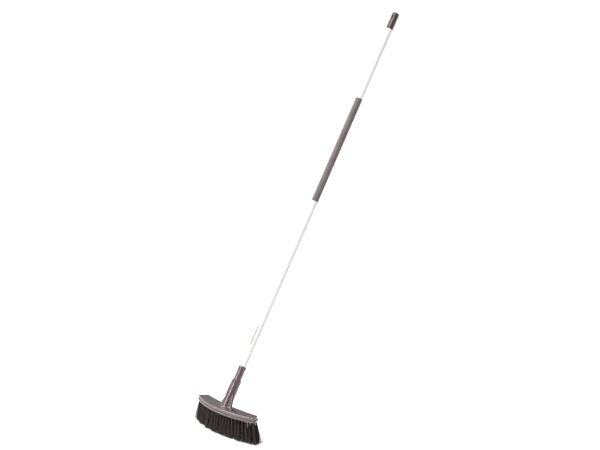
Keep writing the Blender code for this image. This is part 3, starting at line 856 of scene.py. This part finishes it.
def make_grip():
    """A thin plain sleeve on the tube."""
    low, high = GRIP_SPAN
    inside = TUBE_RADIUS + GRIP_GAP
    corners = [(inside, high, 0.0001), (GRIP_RADIUS, high, 0.0003),
               (GRIP_RADIUS, low, 0.0003), (inside, low, 0.0001)]
    grip = turned("grip", corners)
    finish_piece(grip, "handle", GRIP, "mid_grip")


def add_hang_hole(bm):
    cylinder(bm, HANG_HOLE_RADIUS, -0.02, 0.02, crosswise(HANG_HOLE_HEIGHT, "X"), 64)


def add_hole_mouths(bm):
    """The flares of the hanging hole, where it opens to the front and the back."""
    for side in (-1, 1):
        cylinder(bm, HANG_HOLE_RADIUS - 0.0002, *MOUTH_SPAN,
                 crosswise(HANG_HOLE_HEIGHT, "X", side), 64, HANG_HOLE_RADIUS + MOUTH_FLARE)


def make_cap():
    inside = TUBE_RADIUS + GAP
    floor = TUBE_TOP + GAP
    corners = [(0, CAP_TOP, 0), (CAP_RADIUS, CAP_TOP, CAP_ROUNDING),
               (CAP_RADIUS, CAP_BASE, 0.0006), (inside, CAP_BASE, 0.0003),
               (inside, floor, 0), (0, floor, 0)]
    cap = turned("cap", corners, closed=False)
    carve(cap, "DIFFERENCE", add_hang_hole, HANDLE_FRAME)
    carve(cap, "DIFFERENCE", add_hole_mouths, HANDLE_FRAME)
    even_normals(cap)
    finish_piece(cap, "handle", CAP, "end_cap")


# Materials.

class Surface:
    """A Principled material that is being built, and short ways to add its nodes."""

    def __init__(self, name, roughness, **sockets):
        self.material = bpy.data.materials.new(name)
        self.material.use_nodes = True
        self.tree = self.material.node_tree
        self.shader = self.tree.nodes["Principled BSDF"]
        self.shader.inputs["Roughness"].default_value = roughness
        for socket, value in sockets.items():
            self.shader.inputs[socket.replace("_", " ")].default_value = value
        self.coordinates = self.add("ShaderNodeTexCoord").outputs["Object"]

    def add(self, kind, inputs=(), **settings):
        node = self.tree.nodes.new(kind)
        for setting, value in settings.items():
            setattr(node, setting, value)
        for socket, value in dict(inputs).items():
            if isinstance(value, bpy.types.NodeSocket):
                self.tree.links.new(value, node.inputs[socket])
            else:
                node.inputs[socket].default_value = value
        return node

    def stretched(self, scale):
        return self.add("ShaderNodeMapping", {
            "Vector": self.coordinates, "Scale": scale}).outputs["Vector"]

    def noise(self, scale, detail=3.0, vector=None, roughness=0.55):
        return self.add("ShaderNodeTexNoise", {
            "Vector": vector or self.coordinates, "Scale": scale, "Detail": detail,
            "Roughness": roughness}).outputs["Fac"]

    def rescaled(self, value, low, high, to_low, to_high, smooth=False):
        kind = "SMOOTHSTEP" if smooth else "LINEAR"
        return self.add("ShaderNodeMapRange", {
            "Value": value, "From Min": low, "From Max": high,
            "To Min": to_low, "To Max": to_high}, interpolation_type=kind).outputs["Result"]

    def math(self, operation, first, second):
        return self.add("ShaderNodeMath", {0: first, 1: second}, operation=operation).outputs[0]

    def mixed(self, share, first, second):
        node = self.add("ShaderNodeMix", {"Factor": share}, data_type="RGBA")
        for socket, value in ((node.inputs[6], first), (node.inputs[7], second)):
            if isinstance(value, bpy.types.NodeSocket):
                self.tree.links.new(value, socket)
            else:
                socket.default_value = (*value, 1)
        return node.outputs[2]

    def colour(self, source):
        self.tree.links.new(source, self.shader.inputs["Base Color"])

    def roughness(self, source):
        self.tree.links.new(source, self.shader.inputs["Roughness"])

    def bump(self, height, distance, strength=1.0):
        inputs = {"Height": height, "Distance": distance, "Strength": strength}
        before = self.shader.inputs["Normal"]
        if before.is_linked:
            inputs["Normal"] = before.links[0].from_socket
        node = self.add("ShaderNodeBump", inputs)
        self.tree.links.new(node.outputs["Normal"], before)


def edge_wear(surface):
    """1 along outward edges, broken up by noise."""
    pointed = surface.add("ShaderNodeNewGeometry").outputs["Pointiness"]
    edges = surface.rescaled(pointed, 0.53, 0.62, 0, 1, smooth=True)
    patches = surface.rescaled(surface.noise(60), 0.42, 0.62, 0, 1, smooth=True)
    return surface.math("MULTIPLY", edges, patches)


def moulded_plastic(name, dark, light, worn, roughness, coat_roughness, ior=1.82, coat=0.45):
    """Satin moulded plastic: a fine spark-eroded grain, with faint handling marks."""
    surface = Surface(name, roughness, IOR=ior, Specular_Tint=(1.0, 0.84, 0.86, 1.0),
                      Coat_Weight=coat, Coat_Roughness=coat_roughness)
    clouds = surface.rescaled(surface.noise(22, 5), 0.3, 0.7, 0, 1, smooth=True)
    tone = surface.mixed(clouds, dark, light)
    surface.colour(surface.mixed(surface.math("MULTIPLY", edge_wear(surface), 0.5), tone, worn))
    rubbed = surface.noise(70, 6, roughness=0.65)
    surface.roughness(surface.rescaled(rubbed, 0.3, 0.7, roughness - 0.06, roughness + 0.08))
    surface.bump(surface.noise(2600, 2), 0.000007)
    surface.bump(surface.noise(320, 2), 0.00002, 0.4)
    return surface.material


def filament_plastic():
    """Dark bristles in streaks of their own tones, dusty and paler towards the worn tips."""
    surface = Surface("bristle_filament", 0.42, IOR=1.5)
    own = surface.add("ShaderNodeNewGeometry").outputs["Random Per Island"]
    streaks = surface.rescaled(surface.noise(190, 3, surface.stretched((1, 1, 0.05))),
                               0.38, 0.62, 0, 0.6, smooth=True)
    shade = surface.math("ADD", surface.math("MULTIPLY", own, 0.4), streaks)
    tone = surface.mixed(shade, (0.0095, 0.0052, 0.0045), (0.036, 0.020, 0.0165))
    height = surface.add("ShaderNodeSeparateXYZ", {"Vector": surface.coordinates}).outputs["Z"]
    low_down = surface.rescaled(height, 0.020, 0.0, 0, 0.45, smooth=True)
    dust = surface.math("MULTIPLY", low_down, surface.rescaled(surface.noise(90), 0.4, 0.7, 0, 1))
    surface.colour(surface.mixed(dust, tone, (0.085, 0.070, 0.062)))
    surface.roughness(surface.rescaled(own, 0, 1, 0.34, 0.55))
    surface.bump(surface.noise(900, 2, surface.stretched((1, 1, 0.08))), 0.00003)
    return surface.material


def zinc_plate():
    surface = Surface("zinc_plate", 0.32, Metallic=1.0)
    clouds = surface.rescaled(surface.noise(700, 4), 0.3, 0.7, 0, 1)
    surface.colour(surface.mixed(clouds, (0.50, 0.51, 0.53), (0.66, 0.67, 0.68)))
    surface.roughness(surface.rescaled(surface.noise(1500, 3), 0.3, 0.7, 0.24, 0.42))
    surface.bump(surface.noise(3000, 2), 0.00001)
    return surface.material


def in_span(surface, value, low, high, soft=0.0004):
    """1 where a coordinate lies between two values, with crisp but not jagged ends."""
    rise = surface.rescaled(value, low - soft, low + soft, 0, 1)
    fall = surface.rescaled(value, high - soft, high + soft, 1, 0)
    return surface.math("MULTIPLY", rise, fall)


def coated_tube():
    """White powder coat with a fine orange peel, and a plain printed band near its foot."""
    surface = Surface("white_coat", 0.33, IOR=1.35)
    clouds = surface.rescaled(surface.noise(9, 4), 0.3, 0.7, 0, 1)
    white = surface.mixed(clouds, (0.636, 0.632, 0.636), (0.664, 0.660, 0.664))
    parts = surface.add("ShaderNodeSeparateXYZ", {"Vector": surface.coordinates})
    angle = surface.math("ARCTAN2", parts.outputs["Y"], parts.outputs["X"])
    along = parts.outputs["Z"]
    printed = white
    for span, half_angle, colour in (
            (STRIPE_SPAN, STRIPE_HALF_ANGLE, (0.29, 0.27, 0.21)),
            (THIN_LINE_SPAN, THIN_LINE_HALF_ANGLE, (0.48, 0.45, 0.46))):
        across = in_span(surface, angle, PRINT_ANGLE - half_angle, PRINT_ANGLE + half_angle, 0.02)
        mark = surface.math("MULTIPLY", in_span(surface, along, *span), across)
        printed = surface.mixed(mark, printed, colour)
    scuffs = surface.noise(40, 6, surface.stretched((1, 1, 0.15)))
    rubbed = surface.rescaled(scuffs, 0.60, 0.75, 0, 0.10)
    surface.colour(surface.mixed(rubbed, printed, (0.55, 0.54, 0.53)))
    surface.roughness(surface.rescaled(surface.noise(60, 5), 0.3, 0.7, 0.28, 0.40))
    surface.bump(surface.noise(420, 2), 0.00004, 0.5)
    return surface.material


def grip_sleeve():
    """A matt sleeve with a fine lengthwise grain, a little polished where hands hold it."""
    surface = Surface("grip_sleeve", 0.6, IOR=1.45)
    clouds = surface.rescaled(surface.noise(26, 5), 0.3, 0.7, 0, 1, smooth=True)
    surface.colour(surface.mixed(clouds, (0.106, 0.088, 0.086), (0.130, 0.109, 0.106)))
    held = surface.noise(12, 4, surface.stretched((1, 1, 0.35)))
    surface.roughness(surface.rescaled(held, 0.3, 0.7, 0.50, 0.68))
    surface.bump(surface.noise(1500, 2, surface.stretched((1, 1, 0.12))), 0.00005, 0.6)
    surface.bump(surface.noise(3200, 2), 0.00003, 0.5)
    return surface.material


MOULDED = moulded_plastic("moulded_taupe", (0.046, 0.029, 0.032), (0.060, 0.039, 0.043),
                          (0.17, 0.15, 0.15), 0.20, 0.32)
SLEEVE = moulded_plastic("sleeve_taupe", (0.040, 0.026, 0.028), (0.052, 0.036, 0.038),
                         (0.16, 0.14, 0.14), 0.22, 0.34)
CAP = moulded_plastic("cap_taupe", (0.038, 0.028, 0.028), (0.050, 0.038, 0.038),
                      (0.14, 0.12, 0.12), 0.22, 0.34, ior=1.7, coat=0.0)
BLOCK = moulded_plastic("block_taupe", (0.040, 0.029, 0.030), (0.052, 0.038, 0.040),
                        (0.16, 0.14, 0.14), 0.30, 0.38)
FILAMENT = filament_plastic()
ZINC = zinc_plate()
COATED = coated_tube()
GRIP = grip_sleeve()


def finish_piece(obj, body, material, node):
    """Give a piece its material, and put it in a CAD node's place on a body."""
    obj.data.materials.clear()
    obj.data.materials.append(material)
    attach(obj, body)
    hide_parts(node)


def finish_cad_node(node, material):
    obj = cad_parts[node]
    obj.data.materials.clear()
    obj.data.materials.append(material)


# Stage, light and camera.

def make_stage():
    bm = bmesh.new()
    bmesh.ops.create_grid(bm, x_segments=1, y_segments=1, size=200)
    floor = add_object("floor", bm)
    surface = Surface("floor_paint", 0.8)
    surface.shader.inputs["Specular IOR Level"].default_value = 0.0
    surface.colour(surface.mixed(surface.noise(0.6, 2), (0.90, 0.90, 0.90), (0.92, 0.92, 0.92)))
    floor.data.materials.append(surface.material)


def add_panel(name, place, aim, along, size, power):
    """A soft rectangular light that looks from a place at a point, its length along a line."""
    behind = (Vector(place) - Vector(aim)).normalized()
    across = Vector(along).cross(behind).normalized()
    facing = Matrix((across, behind.cross(across), behind)).transposed()
    light = bpy.data.lights.new(name, "AREA")
    light.shape = "RECTANGLE"
    light.size, light.size_y = size
    light.energy = power
    obj = bpy.data.objects.new(name, light)
    bpy.context.scene.collection.objects.link(obj)
    obj.location = place
    obj.rotation_mode = "QUATERNION"
    obj.rotation_quaternion = facing.to_quaternion()


def make_world():
    """White surroundings that grow darker towards one side, to shape dark plastic."""
    world = bpy.data.worlds.new("studio")
    bpy.context.scene.world = world
    world.use_nodes = True
    nodes, links = world.node_tree.nodes, world.node_tree.links
    background = nodes["Background"]
    background.inputs["Color"].default_value = (1.0, 1.0, 1.0, 1)
    towards = nodes.new("ShaderNodeVectorMath")
    towards.operation = "DOT_PRODUCT"
    towards.inputs[1].default_value = DARK_SIDE
    links.new(nodes.new("ShaderNodeTexCoord").outputs["Generated"], towards.inputs[0])
    strength = nodes.new("ShaderNodeMapRange")
    strength.interpolation_type = "SMOOTHSTEP"
    for socket, value in (("From Min", -0.9), ("From Max", 0.5),
                          ("To Min", 0.85), ("To Max", 0.12)):
        strength.inputs[socket].default_value = value
    links.new(towards.outputs["Value"], strength.inputs["Value"])
    links.new(strength.outputs["Result"], background.inputs["Strength"])


def make_light():
    overhead = bpy.data.lights.new("overhead", "SUN")
    overhead.energy = 1.72
    overhead.angle = math.radians(100)
    obj = bpy.data.objects.new("overhead", overhead)
    bpy.context.scene.collection.objects.link(obj)
    add_panel("key", (-1.6, -2.6, 1.2), (0, 0.35, 0.75), (0, 0, 1), (0.5, 2.6), 5)
    add_panel("front", (0.60, -2.15, 2.70), (0, 0.4, 0.8), (0.36, 1.8, 1.68), (0.42, 4.2), 84)
    add_panel("upper left", (-1.75, -0.68, 2.16), (0.1, 0, 0.1), (0.76, -0.33, 0.57),
              (0.45, 1.5), 25)


def make_camera():
    """A camera at the photograph's viewing angle."""
    back = Vector((math.sin(CAMERA_AZIMUTH) * math.cos(CAMERA_ELEVATION),
                   -math.cos(CAMERA_AZIMUTH) * math.cos(CAMERA_ELEVATION),
                   math.sin(CAMERA_ELEVATION)))
    camera = bpy.data.cameras.new("camera")
    camera.sensor_width = CAMERA_SENSOR
    camera.lens = CAMERA_LENS
    obj = bpy.data.objects.new("camera", camera)
    bpy.context.scene.collection.objects.link(obj)
    obj.location = CAMERA_PLACE
    obj.rotation_mode = "QUATERNION"
    level = (-back).to_track_quat("-Z", "Y")
    obj.rotation_quaternion = level @ Quaternion((0, 0, 1), CAMERA_ROLL)
    bpy.context.scene.camera = obj


make_cover()
make_block()
for row in range(ROWS):
    make_tufts(row)
make_screws()
finish_cad_node("clamp_ring", BLOCK)
make_collar()
make_ferrule()
make_pin()
make_tube()
make_grip()
make_cap()
make_stage()
make_world()
make_light()
make_camera()
bpy.context.scene.view_settings.view_transform = "Standard"
